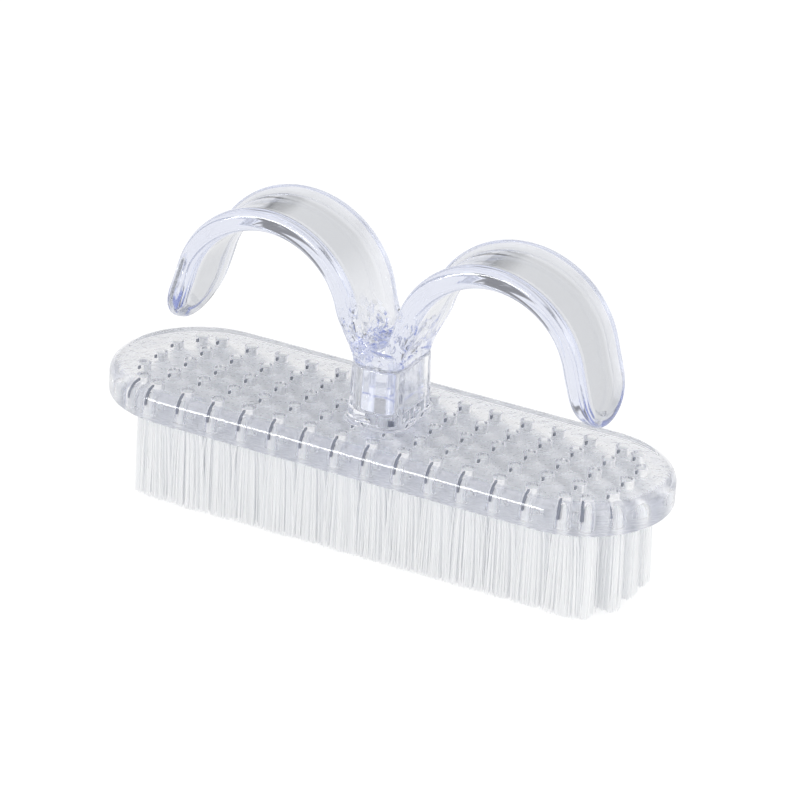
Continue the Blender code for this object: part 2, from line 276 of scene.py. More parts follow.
def grained_underside(sheet, where, shift):
    """Grain below one level: its height, how much rougher it is and how much greyer."""
    grained = 1.0 - sheet.step(sheet.axis(where, "Z"), GRAIN_LEVEL, GRAIN_LEVEL + GRAIN_FADE)
    height = grained * sheet.noise(shift, GRAIN_SCALE, 2.0) * GRAIN_HEIGHT
    return height, grained * GRAIN_ROUGHNESS, grained * GRAIN_GREYNESS


print(f"the underside is grained below {GRAIN_LEVEL / MM:.2f} mm")

# %% The chipped root and the painted shade of the channel
CHIPPED_SPOT = (-0.5 * MM, -2.5 * MM, 34.5 * MM)
CHIPPED_REACH = (4.0 * MM, 7.5 * MM)
FACET_SCALE = 800.0
FACET_HEIGHT = 8500.0
FACET_ROUGHNESS = 0.004
# how far from the post and from the middle the painted shade of the channel reaches
PAINTED_SHADE_FROM_POST = (4.5 * MM, 9.0 * MM)
PAINTED_SHADE_FROM_MIDDLE = (4.4 * MM, 5.5 * MM)


def chipped_root_and_painted_shade(sheet, where, shift):
    """Small tilted facets round one spot, and painted shade: a greyer middle of the ribbon."""
    distance = sheet.vector("DISTANCE", where, CHIPPED_SPOT, output="Value")
    cells = {"Vector": shift, "Scale": FACET_SCALE}
    tilt = sheet.node("ShaderNodeTexVoronoi", {}, cells, "Color")
    center = sheet.node("ShaderNodeTexVoronoi", {}, cells, "Position")
    tilt = sheet.vector("SUBTRACT", tilt, (0.5, 0.5, 0.5))
    local = sheet.vector("SUBTRACT", shift, center)
    facets = sheet.vector("DOT_PRODUCT", local, tilt, output="Value")
    chipped = 1.0 - sheet.step(distance, *CHIPPED_REACH)
    away = sheet.vector("ABSOLUTE", where)
    from_post = sheet.axis(away, "X")
    from_middle = sheet.axis(away, "Y")
    # painted shade: the middle of the channel is greyed away from the post
    channel = sheet.step(from_post, *PAINTED_SHADE_FROM_POST) * (
        1.0 - sheet.step(from_middle, *PAINTED_SHADE_FROM_MIDDLE))
    return chipped * facets * FACET_HEIGHT, chipped * FACET_ROUGHNESS, channel


print(f"the root is chipped within {CHIPPED_REACH[1] / MM:.1f} mm of one spot")

# %% The clear plastic material
PLASTIC_IOR = 1.57
DEPTH_COLOR = (0.25, 0.38, 0.92, 1)
CLOUD_SCALE = 90.0
RIPPLE_SCALE = 160.0
SCRATCH_SCALE = 2600.0
SCRATCH_STRETCH = (6.0, 0.7, 3.0)
SCRATCH_RANGE = (0.62, 0.72)
SCRATCH_DEPTH = -0.005
BUMP_DISTANCE = 0.00012
POLISH = 0.012
CLOUD_ROUGHNESS = 0.02
SCRATCH_ROUGHNESS = 0.05
MARK_SHARE = 0.8
CLOUD_SHARE = 0.2


def clear_plastic(name, pale, greyer_and_shaded, seed, density, wave, marks):
    material = bpy.data.materials.new(name)
    sheet = Sheet(material)
    where = sheet.place()
    shift = sheet.node("ShaderNodeMapping", {}, {"Vector": where, "Location": (seed, 0.0, 0.0)})
    cloud = sheet.noise(shift, CLOUD_SCALE, 3.0)
    ripple = sheet.noise(shift, RIPPLE_SCALE, 1.0)
    stretched = sheet.node("ShaderNodeMapping", {}, {"Vector": shift, "Scale": SCRATCH_STRETCH})
    scratches = sheet.step(sheet.noise(stretched, SCRATCH_SCALE, 2.0, 0.6), *SCRATCH_RANGE)
    mark_height, mark_roughness, grain_grey_and_painted_shade = marks(sheet, where, shift)
    height = ripple * wave + scratches * SCRATCH_DEPTH + mark_height
    relief = {"Height": height, "Strength": 1.0, "Distance": BUMP_DISTANCE}
    bump = sheet.node("ShaderNodeBump", {}, relief)
    # the grey of the marks is grain on the head and painted shade in the handle's channel
    tone = grain_grey_and_painted_shade * MARK_SHARE + cloud * CLOUD_SHARE
    color = sheet.blend(tone, pale, greyer_and_shaded)
    worn = POLISH + cloud * CLOUD_ROUGHNESS + scratches * SCRATCH_ROUGHNESS
    shader = sheet.node("ShaderNodeBsdfPrincipled", {}, {
        "Base Color": color,
        "Roughness": worn + mark_roughness,
        "IOR": PLASTIC_IOR,
        "Transmission Weight": 1.0,
        "Normal": bump,
    })
    absorbing = {"Color": DEPTH_COLOR, "Density": density}
    sheet.finish(shader, Volume=sheet.node("ShaderNodeVolumeAbsorption", {}, absorbing))
    return material


# %% Plastic of the head and of the handle
head_plastic = clear_plastic(
    "clear_head_plastic",
    pale=(0.995, 0.997, 1.0, 1),
    greyer_and_shaded=(0.982, 0.987, 0.998, 1),
    seed=0.31,
    density=2.8,
    wave=0.06,
    marks=grained_underside,
)
handle_plastic = clear_plastic(
    "clear_handle_plastic",
    pale=(0.915, 0.924, 0.945, 1),
    # the greyer colour carries the painted shade of the channel
    greyer_and_shaded=(0.61, 0.622, 0.638, 1),
    seed=0.77,
    density=10.0,
    wave=0.2,
    marks=chipped_root_and_painted_shade,
)
for plastic in (head_plastic, handle_plastic):
    print(plastic.name, "has", len(plastic.node_tree.nodes), "nodes")

# %% [markdown]
# ## The head plate
#
# The head is a plate with fully round ends. A cube at the plate's size has its four upright
# edges bevelled until the ends are half circles, and then the top edge gets a wide rounding
# and the bottom edge a narrow one. Bevels are what an injection mould has, so nothing else
# is needed.

# %% Plate
HEAD_LENGTH = 95.0 * MM
HEAD_WIDTH = 30.2 * MM
UNDERSIDE = 15.0 * MM
DECK = 20.1 * MM
END_RADIUS = 15.05 * MM
END_SEGMENTS = 44
TOP_ROUNDING = 2.0 * MM
BOTTOM_ROUNDING = 0.4 * MM

half_length = HEAD_LENGTH / 2
half_width = HEAD_WIDTH / 2
head = add_box(
    "clear_head",
    (-half_length, -half_width, UNDERSIDE),
    (half_length, half_width, DECK),
)
edit(head)
round_edges(head, END_RADIUS, END_SEGMENTS, upright)
round_edges(head, TOP_ROUNDING, 10, lambda edge: at_height(edge, DECK))
round_edges(head, BOTTOM_ROUNDING, 4, lambda edge: at_height(edge, UNDERSIDE))
deselect_all()
report(head)

# %% [markdown]
# ## The post
#
# The post is a hollow block with round corners. It widens a little towards its foot, as a
# moulded post does so that it leaves the mould. Its socket is an inset of the top face
# pushed down. It starts inside the plate, so the union leaves one clear solid, and the
# corner where it meets the deck is then filled with a small concave bevel.

# %% Post
POST_WIDTH = 8.8 * MM
POST_LENGTH = 13.6 * MM
POST_RIM = 29.6 * MM
POST_SINK = 1.0 * MM
POST_FLARE = 0.35 * MM
POST_CORNER = 3.0 * MM
CORNER_SEGMENTS = 14
RIM_ROUNDING = 0.3 * MM
SOCKET_INSET = 1.1 * MM
SOCKET_FLOOR = 21.7 * MM
SOCKET_ROUNDING = 0.4 * MM


def faces_up(face):
    return face.normal.z > 0.99


post_bottom = DECK - POST_SINK
post = add_box(
    "post",
    (-POST_WIDTH / 2, -POST_LENGTH / 2, post_bottom),
    (POST_WIDTH / 2, POST_LENGTH / 2, POST_RIM),
)
edit(post)
round_edges(post, POST_CORNER, CORNER_SEGMENTS, upright)
pick(post, "VERT", lambda vertex: near(vertex.co.z, post_bottom))
lean = POST_FLARE * (POST_RIM - post_bottom) / (POST_RIM - DECK)
spread = (1 + 2 * lean / POST_WIDTH, 1 + 2 * lean / POST_LENGTH, 1)
bpy.ops.transform.resize(value=spread, center_override=(0, 0, post_bottom))
round_edges(post, RIM_ROUNDING, 4, lambda edge: at_height(edge, POST_RIM))
pick(post, "FACE", lambda face: faces_up(face) and near(face.calc_center_median().z, POST_RIM))
bpy.ops.mesh.inset(thickness=SOCKET_INSET, depth=0)
socket_drop = (0, 0, SOCKET_FLOOR - POST_RIM)
bpy.ops.mesh.extrude_region_move(TRANSFORM_OT_translate={"value": socket_drop})
round_edges(post, SOCKET_ROUNDING, 3, lambda edge: at_height(edge, SOCKET_FLOOR))
deselect_all()
report(post)

# %% Join the post to the plate
FOOT_FILLET = 0.8 * MM
NEAR_POST_X = 6 * MM
NEAR_POST_Y = 9 * MM


def round_the_post(edge):
    inside = all(abs(v.co.x) < NEAR_POST_X and abs(v.co.y) < NEAR_POST_Y for v in edge.verts)
    return inside and at_height(edge, DECK)


combine(head, post, "UNION")
edit(head)
found = round_edges(head, FOOT_FILLET, 5, round_the_post)
deselect_all()
print("edges round the foot of the post:", found)
report(head)

# %% [markdown]
# ## The tuft holes
#
# Eighty blind holes in sixteen columns of five hold the tufts. They stop one millimetre
# under the deck, so through the clear plastic each shows as a small bright cup. One cutter
# is modelled, with a softened end, and copied to every place. The four corner holes are
# drawn in so that they stay inside the round ends.

# %% Where the holes are
COLUMNS = 16
ROWS = 5
COLUMN_PITCH = 5.42 * MM
ROW_PITCH = 5.075 * MM
CORNER_SPACING = 3.101 * MM
CORNER_PULL_Y = 1.0 * MM
HOLE_RADIUS = 1.15 * MM
DECK_OVER_HOLE = 1.0 * MM
HOLE_TOP = DECK - DECK_OVER_HOLE


def hole_centers(column):
    x = (column - (COLUMNS - 1) / 2) * COLUMN_PITCH
    centers = []
    for row in range(ROWS):
        y = (row - (ROWS - 1) / 2) * ROW_PITCH
        corner = column in (0, COLUMNS - 1) and row in (0, ROWS - 1)
        pull_x = math.copysign(COLUMN_PITCH - CORNER_SPACING, x) if corner else 0.0
        pull_y = math.copysign(CORNER_PULL_Y, y) if corner else 0.0
        centers.append(Vector((x - pull_x, y - pull_y, 0.0)))
    return centers


print("tuft holes:", sum(len(hole_centers(column)) for column in range(COLUMNS)))

# %% Cut the holes
HOLE_SIDES = 24
HOLE_ROUNDING = 0.3 * MM
CUTTER_OVERSHOOT = 1.0 * MM


def copy_to(piece, offset):
    """A copy with its own mesh, moved in the mesh."""
    twin = piece.copy()
    twin.data = piece.data.copy()
    twin.data.transform(Matrix.Translation(offset))
    bpy.context.scene.collection.objects.link(twin)
    return twin


cutter_low = UNDERSIDE - CUTTER_OVERSHOOT
deselect_all()
bpy.ops.mesh.primitive_cylinder_add(
    vertices=HOLE_SIDES,
    radius=HOLE_RADIUS,
    depth=HOLE_TOP - cutter_low,
    location=(0, 0, (HOLE_TOP + cutter_low) / 2),
)
cutter = bpy.context.object
bpy.ops.object.transform_apply(location=True, rotation=True, scale=True)
edit(cutter)
round_edges(cutter, HOLE_ROUNDING, 3, lambda edge: at_height(edge, HOLE_TOP))
deselect_all()
cutters = [
    copy_to(cutter, center) for column in range(COLUMNS) for center in hole_centers(column)]
make_active(cutters[0])
for twin in cutters:
    twin.select_set(True)
bpy.ops.object.join()
bpy.data.objects.remove(cutter, do_unlink=True)
combine(head, cutters[0], "DIFFERENCE")
smooth(head)
head.data.materials.clear()
head.data.materials.append(head_plastic)
report(head)

# %% [markdown]
# ## The finger handle
#
# The handle is one ribbon bent into two arches with a shallow channel along its outer face.
# Its thickness changes along the way, so a bend along one path can't give it. The ribbon is
# therefore modelled flat, as by hand: a long cube, tongue-shaped ends, two insets for the
# channel, rounded edges, and cuts across where it will bend. Then every point is carried
# over to the arch, between an outer and an inner guide line.

# %% Guide lines of the arches
RIBBON_WIDTH = 14.6 * MM
RIBBON_THICKNESS = 3.65 * MM
SEAT = 29.9 * MM
ARCH_HEIGHT = 34.7 * MM
OUTER_RADIUS = 16.2 * MM
INNER_RADIUS = 12.55 * MM
TIP_ANGLE = math.radians(15.0)
ROOT_ANGLE = math.radians(165.0)
TIP_X = 37.2 * MM
TIP_Z = 27.4 * MM
TIP_THICKNESS = 2.9 * MM
CROTCH_Z = 33.1 * MM
BLOCK_HALF_X = 4.4 * MM
INNER_END_Z = 30.833 * MM
TIP_SLOPE = 0.1
OUTER_TIP_PULL = 0.05
INNER_TIP_PULL = 0.25
OUTER_ROOT_PULL = 0.42
CROTCH_PULL = 0.65
INNER_ROOT_PULL = 1.1
BLOCK_PULL = 0.15


def point(x, z):
    return Vector((x, 0.0, z))


OUTER_CENTER = point(19.0 * MM, ARCH_HEIGHT)
INNER_CENTER = point(19.2 * MM, ARCH_HEIGHT)


def on_circle(center, radius, angle):
    return center + point(radius * math.cos(angle), radius * math.sin(angle))


def on_outer(angle):
    return on_circle(OUTER_CENTER, OUTER_RADIUS, angle)


def on_inner(angle):
    return on_circle(INNER_CENTER, INNER_RADIUS, angle)


def bezier(start, start_pull, end_pull, end, t):
    rest = 1.0 - t
    first = start * rest**3 + start_pull * 3 * rest**2 * t
    return first + end_pull * 3 * rest * t**2 + end * t**3


def ease(value):
    value = min(max(value, 0.0), 1.0)
    return value * value * (3 - 2 * value)


# %% Guide lines of the tip, the arch and the root
def tip_guides(t):
    outer_top = on_outer(TIP_ANGLE)
    inner_top = on_inner(TIP_ANGLE)
    outer_tip = point(TIP_X, TIP_Z)
    inner_tip = outer_tip - point(TIP_THICKNESS, -TIP_SLOPE * TIP_THICKNESS)
    pull = (outer_top.z - TIP_Z) / 3
    along = point(math.sin(TIP_ANGLE), -math.cos(TIP_ANGLE)) * pull
    outer_pull = outer_tip + point(-OUTER_TIP_PULL * pull, pull)
    inner_pull = inner_tip + point(-INNER_TIP_PULL * pull, pull)
    outer = bezier(outer_tip, outer_pull, outer_top + along, outer_top, t)
    inner = bezier(inner_tip, inner_pull, inner_top + along, inner_top, t)
    return outer, inner


def arch_guides(t):
    angle = TIP_ANGLE + (ROOT_ANGLE - TIP_ANGLE) * t
    return on_outer(angle), on_inner(angle)


def outer_root(t):
    start = on_outer(ROOT_ANGLE)
    crotch = point(0.0, CROTCH_Z)
    down = point(-math.sin(ROOT_ANGLE), math.cos(ROOT_ANGLE))
    along = down * OUTER_ROOT_PULL * (start.z - CROTCH_Z)
    return bezier(start, start + along, crotch + point(CROTCH_PULL * start.x, 0.0), crotch, t)


def inner_root(t):
    start = on_inner(ROOT_ANGLE)
    end = point(BLOCK_HALF_X, INNER_END_Z)
    pull = (start.z - end.z) / 3
    along = point(-math.sin(ROOT_ANGLE), math.cos(ROOT_ANGLE)) * pull * INNER_ROOT_PULL
    return bezier(start, start + along, end + point(BLOCK_PULL * pull, pull), end, t)


# %% Lengths along the ribbon
SIDE_SHARE = 0.6
TIP_RUN = (tip_guides(1.0)[0] - tip_guides(0.0)[0]).length
ARCH_RUN = OUTER_RADIUS * (ROOT_ANGLE - TIP_ANGLE)
SIDE_RUN = 5.0 * MM
MIDDLE_RUN = 2.6 * MM
HALF_RUN = TIP_RUN + ARCH_RUN + SIDE_RUN + MIDDLE_RUN
NARROWING = 0.45 * MM
SIDE_FADE = 0.6
MIDDLE_CHANNEL = 0.4
print(f"half of the flat ribbon: {HALF_RUN / MM:.1f} mm")


def guides(along):
    """What the ribbon is like at a distance from its tip.

    Gives the outer point, the inner point, their two half widths and the channel's depth.
    """
    full = RIBBON_WIDTH / 2
    narrow = full - NARROWING
    if along <= TIP_RUN:
        return (*tip_guides(along / TIP_RUN), full, full, 1.0)
    if along <= TIP_RUN + ARCH_RUN:
        return (*arch_guides((along - TIP_RUN) / ARCH_RUN), full, full, 1.0)
    if along <= TIP_RUN + ARCH_RUN + SIDE_RUN:
        t = (along - TIP_RUN - ARCH_RUN) / SIDE_RUN
        outer_half = full + (narrow - full) * ease(SIDE_SHARE * t)
        inner_half = full + (narrow - 2 * NARROWING - full) * t**2
        channel = 1.0 - SIDE_FADE * ease(t)
        return outer_root(SIDE_SHARE * t), inner_root(t), outer_half, inner_half, channel
    t = min((along - TIP_RUN - ARCH_RUN - SIDE_RUN) / MIDDLE_RUN, 1.0)
    inner = point(BLOCK_HALF_X * math.cos(math.radians(90.0) * t), INNER_END_Z)
    share = SIDE_SHARE + (1 - SIDE_SHARE) * t
    outer_half = full + (narrow - full) * ease(share)
    channel = MIDDLE_CHANNEL * (1 - ease(t))
    return outer_root(share), inner, outer_half, narrow - 2 * NARROWING, channel


# %% The flat ribbon
TONGUE_LENGTH = 6.8 * MM
TONGUE_RADIUS = 7.25 * MM
TONGUE_SEGMENTS = 22
TONGUE_SLACK = 0.01 * MM
EDGE_ROUNDING = 1.4 * MM
CHANNEL_RIM = 2.0 * MM
CHANNEL_RAMP = 0.55 * MM
CHANNEL_DEPTH = 0.9 * MM

handle = add_box(
    "clear_handle",
    (-HALF_RUN, -RIBBON_WIDTH / 2, 0.0),
    (HALF_RUN, RIBBON_WIDTH / 2, RIBBON_THICKNESS),
)
edit(handle)
round_edges(handle, TONGUE_RADIUS, TONGUE_SEGMENTS, upright)
for side in (1, -1):
    pick(handle, "VERT", lambda v: side * v.co.x > HALF_RUN - TONGUE_RADIUS - TONGUE_SLACK)
    bpy.ops.transform.resize(
        value=(TONGUE_LENGTH / TONGUE_RADIUS, 1, 1), center_override=(side * HALF_RUN, 0, 0))
pick(handle, "FACE", faces_up)
bpy.ops.mesh.inset(thickness=CHANNEL_RIM, depth=0)
bpy.ops.mesh.inset(thickness=CHANNEL_RAMP, depth=-CHANNEL_DEPTH)
deselect_all()
report(handle)

# %% Round the channel and the edges
CHANNEL_ROUNDING = 0.2 * MM
channel_floor = RIBBON_THICKNESS - CHANNEL_DEPTH


def steepness(edge):
    """The angle between the two faces of an edge, in degrees."""
    return math.degrees(edge.calc_face_angle(0.0))


def channel_edge(edge):
    level = at_height(edge, channel_floor)
    brim = at_height(edge, RIBBON_THICKNESS) and 20.0 < steepness(edge) < 70.0
    return (level or brim) and steepness(edge) > 20.0


def outer_edge(edge):
    flat = at_height(edge, 0.0) or at_height(edge, RIBBON_THICKNESS)
    return flat and steepness(edge) > 80.0


edit(handle)
found = round_edges(handle, EDGE_ROUNDING, 9, outer_edge)
print("outer edges rounded:", found)
found = round_edges(handle, CHANNEL_ROUNDING, 3, channel_edge)
print("channel edges rounded:", found)
deselect_all()
report(handle)

# %% Cut the ribbon where it bends
FIRST_TIP_CUT = 1.0 * MM
TIP_CUT_PITCH = 1.15 * MM
ARCH_CUTS = 40
SIDE_CUTS = 9
MIDDLE_CUTS = 6

edit(handle)
cuts = []
spot = FIRST_TIP_CUT
while spot < TIP_RUN:
    cuts.append(spot)
    spot += TIP_CUT_PITCH
cuts += [TIP_RUN + ARCH_RUN * step / ARCH_CUTS for step in range(ARCH_CUTS + 1)]
cuts += [TIP_RUN + ARCH_RUN + SIDE_RUN * step / SIDE_CUTS for step in range(1, SIDE_CUTS + 1)]
side_end = TIP_RUN + ARCH_RUN + SIDE_RUN
cuts += [side_end + MIDDLE_RUN * step / MIDDLE_CUTS for step in range(1, MIDDLE_CUTS)]
places = [HALF_RUN - cut for cut in cuts] + [cut - HALF_RUN for cut in cuts] + [0.0]
for place in places:
    bpy.ops.mesh.select_all(action="SELECT")
    bpy.ops.mesh.bisect(plane_co=(place, 0, 0), plane_no=(1, 0, 0))
deselect_all()
report(handle)

# %% Carry the ribbon over to the arches
CHANNEL_SLACK = 0.4 * MM


def carry(co):
    side = 1 if co.x >= 0 else -1
    outer, inner, outer_half, inner_half, channel = guides(HALF_RUN - abs(co.x))
    level = co.z
    in_channel = abs(co.y) < RIBBON_WIDTH / 2 - CHANNEL_RIM + CHANNEL_SLACK
    if in_channel and level > RIBBON_THICKNESS / 2:
        level = RIBBON_THICKNESS - (RIBBON_THICKNESS - level) * channel
    share = level / RIBBON_THICKNESS
    place = inner + (outer - inner) * share
    half = inner_half + (outer_half - inner_half) * share
    return Vector((side * place.x, co.y * half / (RIBBON_WIDTH / 2), place.z))


for vertex in handle.data.vertices:
    vertex.co = carry(vertex.co)
edit(handle)
bpy.ops.mesh.select_all(action="SELECT")
bpy.ops.mesh.remove_doubles(threshold=CLOSE)
bpy.ops.mesh.normals_make_consistent(inside=False)
deselect_all()
report(handle)

# %% [markdown]
# ## The root block and the tenon
#
# Under the arches a short block with round corners sits over the post, and its tenon goes
# down into the socket. Through the clear post the tenon shows as a second, smaller block.
# The block is a bevelled cube. Its bottom face is inset and extruded down for the tenon.

# %% Root block
BLOCK_LENGTH = 13.6 * MM
BLOCK_TOP = 32.7 * MM
BLOCK_FLARE = 0.4 * MM
BLOCK_TOP_ROUNDING = 0.7 * MM
TENON_INSET = 1.4 * MM
TENON_BOTTOM = 22.0 * MM
TENON_ROUNDING = 0.3 * MM

block = add_box(
    "root_block",
    (-BLOCK_HALF_X, -BLOCK_LENGTH / 2, SEAT),
    (BLOCK_HALF_X, BLOCK_LENGTH / 2, BLOCK_TOP),
)
edit(block)
round_edges(block, POST_CORNER, CORNER_SEGMENTS, upright)
pick(block, "VERT", lambda vertex: near(vertex.co.z, BLOCK_TOP))
spread = (1 + BLOCK_FLARE / BLOCK_HALF_X, 1 + BLOCK_FLARE / (BLOCK_LENGTH / 2), 1)
bpy.ops.transform.resize(value=spread, center_override=(0, 0, BLOCK_TOP))
round_edges(block, BLOCK_TOP_ROUNDING, 5, lambda edge: at_height(edge, BLOCK_TOP))
round_edges(block, RIM_ROUNDING, 4, lambda edge: at_height(edge, SEAT))
pick(block, "FACE", lambda face: face.normal.z < -0.99 and near(face.calc_center_median().z, SEAT))
bpy.ops.mesh.inset(thickness=TENON_INSET, depth=0)
tenon_drop = (0, 0, TENON_BOTTOM - SEAT)
bpy.ops.mesh.extrude_region_move(TRANSFORM_OT_translate={"value": tenon_drop})
round_edges(block, TENON_ROUNDING, 3, lambda edge: at_height(edge, TENON_BOTTOM))
deselect_all()
report(block)
combine(handle, block, "UNION")
smooth(handle)
handle.data.materials.clear()
handle.data.materials.append(handle_plastic)
report(handle)

# %% [markdown]
# ## Nylon tufts
#
# Each tuft is a bundle of thin nylon filaments, folded in its hole and trimmed level. Hair
# strands would be lost in an export, so a filament is real geometry: a five-sided cylinder
# with a few cuts along it. Its sides stay flat, because smooth shading on tubes this thin
# loses light. It is modelled once. Each copy is bent between its place in the hole and its
# place at the tip, with all five tufts of a column in one piece.

# %% One filament
FILAMENT_RADIUS = 0.1 * MM
FILAMENT_SINK = 0.5 * MM
FILAMENT_TOP = HOLE_TOP - FILAMENT_SINK
CUTS_DOWN = (0.19, 0.26, 0.42, 0.7)

deselect_all()
bpy.ops.mesh.primitive_cylinder_add(vertices=5, radius=1.0, depth=1.0, location=(0, 0, -0.5))
filament = bpy.context.object
bpy.ops.object.transform_apply(location=True, rotation=True, scale=True)
edit(filament)
for cut in CUTS_DOWN:
    bpy.ops.mesh.select_all(action="SELECT")
    bpy.ops.mesh.bisect(plane_co=(0, 0, -cut), plane_no=(0, 0, 1))
deselect_all()
filament_points = np.array([vertex.co for vertex in filament.data.vertices])
filament_faces = [list(face.vertices) for face in filament.data.polygons]
bpy.data.objects.remove(filament, do_unlink=True)
print("one filament:", len(filament_faces), "faces")

# %% [markdown]
# ## Nylon and anchor metal
#
# The filaments are a very pale, slightly translucent nylon. No two are quite alike, so each
# carries a random value that shifts its colour and gloss a little. Light goes through them,
# so part of the shader is translucent. The anchors are small flat pieces of dull metal, wider
# than the hole, whose ends bite into its wall. Through the deck they show as dark dots.

# %% Nylon material
STREAK_SCALE = 2400.0
STREAK_STRETCH = (1.0, 1.0, 0.12)
STRAND_SHARE = 0.6
STREAK_SHARE = 0.4
STREAK_BUMP = 0.1
STREAK_DISTANCE = 0.00003
THROUGH_SHARE = 0.55


def nylon(name):
    material = bpy.data.materials.new(name)
    sheet = Sheet(material)
    strand = sheet.node("ShaderNodeAttribute", {"attribute_name": "strand"}, {}, "Fac")
    where = sheet.place()
    stretched = sheet.node("ShaderNodeMapping", {}, {"Vector": where, "Scale": STREAK_STRETCH})
    streaks = sheet.noise(stretched, STREAK_SCALE, 2.0)
    tone = strand * STRAND_SHARE + streaks * STREAK_SHARE
    color = sheet.blend(tone, (0.985, 0.988, 0.992, 1), (0.998, 0.998, 0.998, 1))
    relief = {"Height": streaks, "Strength": STREAK_BUMP, "Distance": STREAK_DISTANCE}
    bump = sheet.node("ShaderNodeBump", {}, relief)
    shader = sheet.node("ShaderNodeBsdfPrincipled", {}, {
        "Base Color": color,
        "Roughness": 0.4 + strand * 0.15,
        "IOR": 1.53,
        "Specular IOR Level": 0.2,
        "Normal": bump,
    })
    through = sheet.node("ShaderNodeBsdfTranslucent", {}, {"Color": color})
    shader = sheet.node("ShaderNodeMixShader", {}, {0: THROUGH_SHARE, 1: shader, 2: through})
    sheet.finish(shader)
    return material


# %% Anchor metal
METAL_GRAIN_SCALE = 4000.0


def anchor_metal(name):
    material = bpy.data.materials.new(name)
    sheet = Sheet(material)
    grain = sheet.noise(sheet.place(), METAL_GRAIN_SCALE, 3.0)
    shader = sheet.node("ShaderNodeBsdfPrincipled", {}, {
        "Base Color": sheet.blend(grain, (0.2, 0.22, 0.28, 1), (0.36, 0.38, 0.44, 1)),
        "Metallic": 0.8,
        "Roughness": 0.4 + grain * 0.2,
    })
    sheet.finish(shader)
    return material


nylon_white = nylon("pale_nylon")
dull_metal = anchor_metal("dull_anchor_metal")
print("materials:", nylon_white.name, "and", dull_metal.name)

# %% [markdown]
# ## Where the filaments go
#
# A real tuft is round in its hole and spreads to a block at its tips, where it meets its
# neighbours. The filaments are spaced by the golden turn, which fills a circle evenly, and
# the tips are pushed out towards a square. They reach further along the brush than across it,
# so seen from its ends the five rows stay apart. The tufts at the two ends spread outwards
# less, so that they stay under the head. A little chance in the reach, the bow and the length
# keeps them from looking combed.

# %% Places of one tuft's filaments
FILAMENTS = 96
ROOT_REACH = 0.98 * MM
TIP_REACH_X = 3.1 * MM
TIP_REACH_Y = 1.5 * MM
REACH_RANGE = (0.85, 1.1)
SQUARING = -0.8
END_TUFT_X = 36 * MM
OUTWARD_SHARE = 0.4
TIP_LEAN = 1.2 * MM
TIP_UNEVENNESS = 0.2
TIP_DOME = 0.35
SWAY = 0.14
LOOSENESS = 0.12
BOW = 0.06
GOLDEN_TURN = math.pi * (3 - math.sqrt(5))
draw = random.Random(11)


def scatter(size):
    """A small random shift on the level, in metres, from a size in millimetres."""
    return Vector((draw.gauss(0, size), draw.gauss(0, size), 0)) * MM


def strand_run(center):
    """Root, tip and sideways bow of one tuft's filaments."""
    runs = []
    twist = draw.uniform(0, 2 * math.pi)
    sway = scatter(SWAY)
    for index in range(FILAMENTS):
        reach = math.sqrt((index + 0.5) / FILAMENTS)
        angle = twist + index * GOLDEN_TURN
        way = Vector((math.cos(angle), math.sin(angle), 0))
        root = center + way * reach * ROOT_REACH
        share = reach * draw.uniform(*REACH_RANGE) * max(abs(way.x), abs(way.y)) ** SQUARING
        reach_x = TIP_REACH_X
        if abs(center.x) > END_TUFT_X and way.x * center.x > 0:
            reach_x *= OUTWARD_SHARE
        spread = Vector((way.x * reach_x, way.y * TIP_REACH_Y, 0)) * share
        loose = scatter(LOOSENESS)
        tip = center + spread + sway + loose + Vector((TIP_LEAN, 0, 0))
        tip.z = (draw.uniform(0.0, TIP_UNEVENNESS) + TIP_DOME * reach**3) * MM
        bow = scatter(BOW)
        runs.append((root, tip, bow))
    return runs


print("filaments in a tuft:", FILAMENTS)

# %% Fill the holes with tufts
FLARE_POWER = 0.17


def filament_copy(root, tip, bow):
    """Points of one bent filament."""
    along = -filament_points[:, 2]
    free = np.clip((along - CUTS_DOWN[0]) / (1 - CUTS_DOWN[0]), 0, 1)[:, None]
    base = np.array((root.x, root.y, 0.0))
    end = np.array((tip.x, tip.y, 0.0))
    bend = np.array(bow) * np.sin(math.pi * free)
    middle = base + (end - base) * free**FLARE_POWER + bend
    across = filament_points * np.array((1.0, 1.0, 0.0)) * FILAMENT_RADIUS
    places = middle + across
    places[:, 2] = FILAMENT_TOP + (tip.z - FILAMENT_TOP) * along
    return places


def tuft_piece(column):
    points = []
    faces = []
    values = []
    for center in hole_centers(column):
        for root, tip, bow in strand_run(center):
            base = len(points) * len(filament_points)
            points.append(filament_copy(root, tip, bow))
            faces += [[base + index for index in face] for face in filament_faces]
            values += [draw.random()] * len(filament_points)
    mesh = bpy.data.meshes.new(f"tufts_{column + 1:02d}")
    mesh.from_pydata(np.concatenate(points).tolist(), [], faces)
    mesh.attributes.new("strand", "FLOAT", "POINT").data.foreach_set("value", values)
    piece = bpy.data.objects.new(mesh.name, mesh)
    bpy.context.scene.collection.objects.link(piece)
    make_active(piece)
    mesh.materials.append(nylon_white)
    return piece


tufts = [tuft_piece(column) for column in range(COLUMNS)]
report(tufts[1])

# %% [markdown]
# ## Metal anchors
#
# An anchor is a short flat wire pressed in across the hole, over the fold of the filaments.
# It could be bent from a curve, but it is straight, so it is a thin box with softened edges,
# a little longer than the hole is wide. Each column's five anchors are joined in one piece.

# %% Anchors
ANCHOR_LENGTH = 2.9 * MM
ANCHOR_THICKNESS = 0.32 * MM
ANCHOR_HEIGHT = 1.5 * MM
ANCHOR_DEPTH = 2.0 * MM
ANCHOR_TOP = DECK - ANCHOR_DEPTH
ANCHOR_SHIFT = -0.2 * MM
ANCHOR_ROUNDING = 0.08 * MM
ANCHOR_SMOOTH_ANGLE = math.radians(40.0)

